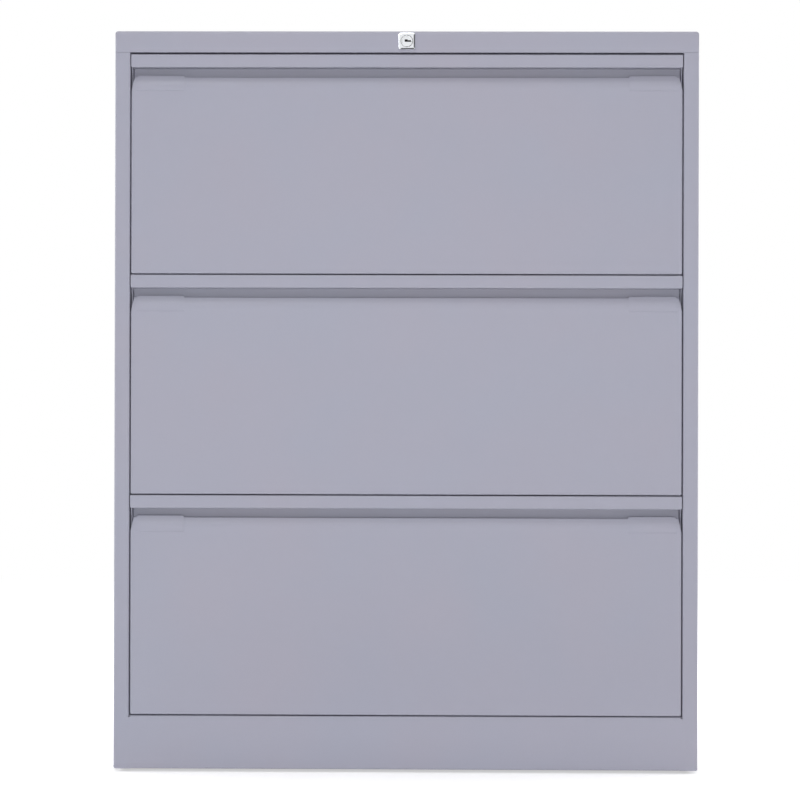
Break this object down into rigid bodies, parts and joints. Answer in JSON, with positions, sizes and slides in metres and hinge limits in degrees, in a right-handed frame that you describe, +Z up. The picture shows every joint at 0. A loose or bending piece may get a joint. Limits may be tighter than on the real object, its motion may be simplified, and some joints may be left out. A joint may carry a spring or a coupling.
{
  "type": "lateral filing cabinet",
  "caption": "Wide steel lateral filing cabinet with full-width drawers on telescopic runners, recessed lip handles, a plinth, levelling feet and a key lock in the fascia.",
  "frame": {"origin": "on the floor, under the middle of the cabinet's width and depth", "axes": "+Z up, +X to the right as seen from the front, +Y to the back; the drawers open towards -Y"},
  "size_m": [0.8, 0.4748, 1.016],
  "materials": {
    "paint": "fine-texture satin powder coat",
    "zinc": "bright zinc plate",
    "chrome": "polished chrome plate",
    "nylon": "moulded matt"
  },
  "bodies": {
    "carcass": {"top_panel": "paint", "right_side_panel": "paint", "left_side_panel": "paint", "back_panel": "paint", "base_panel": "paint", "plinth": "paint", "upright_front_right": "paint", "upright_front_left": "paint", "upright_rear_right": "paint", "upright_rear_left": "paint", "lock_housing": "chrome", "lock_clip": "zinc", "runner_1_outer_right": "zinc", "runner_1_outer_left": "zinc", "runner_2_outer_right": "zinc", "runner_2_outer_left": "zinc", "runner_3_outer_right": "zinc", "runner_3_outer_left": "zinc"},
    "front_right_foot": {"foot_front_right": "nylon"},
    "front_left_foot": {"foot_front_left": "nylon"},
    "rear_right_foot": {"foot_rear_right": "nylon"},
    "rear_left_foot": {"foot_rear_left": "nylon"},
    "drawer_1": {"drawer_1_front_panel": "paint", "drawer_1_handle_rail": "paint", "drawer_1_corner_plate_right": "paint", "drawer_1_corner_plate_left": "paint", "drawer_1_inner_front": "paint", "drawer_1_tray": "paint", "drawer_1_back": "paint", "runner_1_inner_right": "zinc", "runner_1_inner_left": "zinc"},
    "drawer_2": {"drawer_2_front_panel": "paint", "drawer_2_handle_rail": "paint", "drawer_2_corner_plate_right": "paint", "drawer_2_corner_plate_left": "paint", "drawer_2_inner_front": "paint", "drawer_2_tray": "paint", "drawer_2_back": "paint", "runner_2_inner_right": "zinc", "runner_2_inner_left": "zinc"},
    "drawer_3": {"drawer_3_front_panel": "paint", "drawer_3_handle_rail": "paint", "drawer_3_corner_plate_right": "paint", "drawer_3_corner_plate_left": "paint", "drawer_3_inner_front": "paint", "drawer_3_tray": "paint", "drawer_3_back": "paint", "runner_3_inner_right": "zinc", "runner_3_inner_left": "zinc"},
    "drawer_1_telescope": {"runner_1_mid_right": "zinc", "runner_1_mid_left": "zinc"},
    "drawer_2_telescope": {"runner_2_mid_right": "zinc", "runner_2_mid_left": "zinc"},
    "drawer_3_telescope": {"runner_3_mid_right": "zinc", "runner_3_mid_left": "zinc"},
    "lock_turning": {"lock_plug": "chrome", "lock_cam": "zinc"},
    "lock_sliding": {"lock_link": "zinc"},
    "lock_rising": {"lock_bar": "zinc"}
  },
  "joints": [
    {"name": "drawer_1_slide", "type": "slide", "parent": "carcass", "child": "drawer_1", "axis": [0, -1, 0], "range_m": [0, 0.39]},
    {"name": "drawer_2_slide", "type": "slide", "parent": "carcass", "child": "drawer_2", "axis": [0, -1, 0], "range_m": [0, 0.39]},
    {"name": "drawer_3_slide", "type": "slide", "parent": "carcass", "child": "drawer_3", "axis": [0, -1, 0], "range_m": [0, 0.39]},
    {"name": "drawer_1_mid_slide", "type": "slide", "parent": "carcass", "child": "drawer_1_telescope", "axis": [0, -1, 0], "range_m": [0, 0.195]},
    {"name": "drawer_2_mid_slide", "type": "slide", "parent": "carcass", "child": "drawer_2_telescope", "axis": [0, -1, 0], "range_m": [0, 0.195]},
    {"name": "drawer_3_mid_slide", "type": "slide", "parent": "carcass", "child": "drawer_3_telescope", "axis": [0, -1, 0], "range_m": [0, 0.195]},
    {"name": "lock_bar_slide", "type": "slide", "parent": "carcass", "child": "lock_rising", "axis": [0, 0, 1], "range_m": [0, 0.00989]},
    {"name": "lock_link_slide", "type": "slide", "parent": "carcass", "child": "lock_sliding", "axis": [1, 0, 0], "range_m": [0, 0.00989]},
    {"name": "lock_turn", "type": "hinge", "parent": "carcass", "child": "lock_turning", "pos_m": [0, -0.2398, 1.0012], "axis": [0, 1, 0], "range_deg": [0, 90]},
    {"name": "front_right_foot_screw", "type": "slide", "parent": "carcass", "child": "front_right_foot", "axis": [0, 0, -1], "range_m": [0, 0.012]},
    {"name": "front_left_foot_screw", "type": "slide", "parent": "carcass", "child": "front_left_foot", "axis": [0, 0, -1], "range_m": [0, 0.012]},
    {"name": "rear_right_foot_screw", "type": "slide", "parent": "carcass", "child": "rear_right_foot", "axis": [0, 0, -1], "range_m": [0, 0.012]},
    {"name": "rear_left_foot_screw", "type": "slide", "parent": "carcass", "child": "rear_left_foot", "axis": [0, 0, -1], "range_m": [0, 0.012]}
  ],
  "couplings": [
    {"joint": "drawer_1_mid_slide", "follows": "drawer_1_slide", "ratio": 0.5},
    {"joint": "drawer_2_mid_slide", "follows": "drawer_2_slide", "ratio": 0.5},
    {"joint": "drawer_3_mid_slide", "follows": "drawer_3_slide", "ratio": 0.5},
    {"joint": "lock_link_slide", "follows": "lock_bar_slide", "ratio": 1},
    {"joint": "lock_turn", "follows": "lock_bar_slide", "rad_per_m": 158.67}
  ]
}
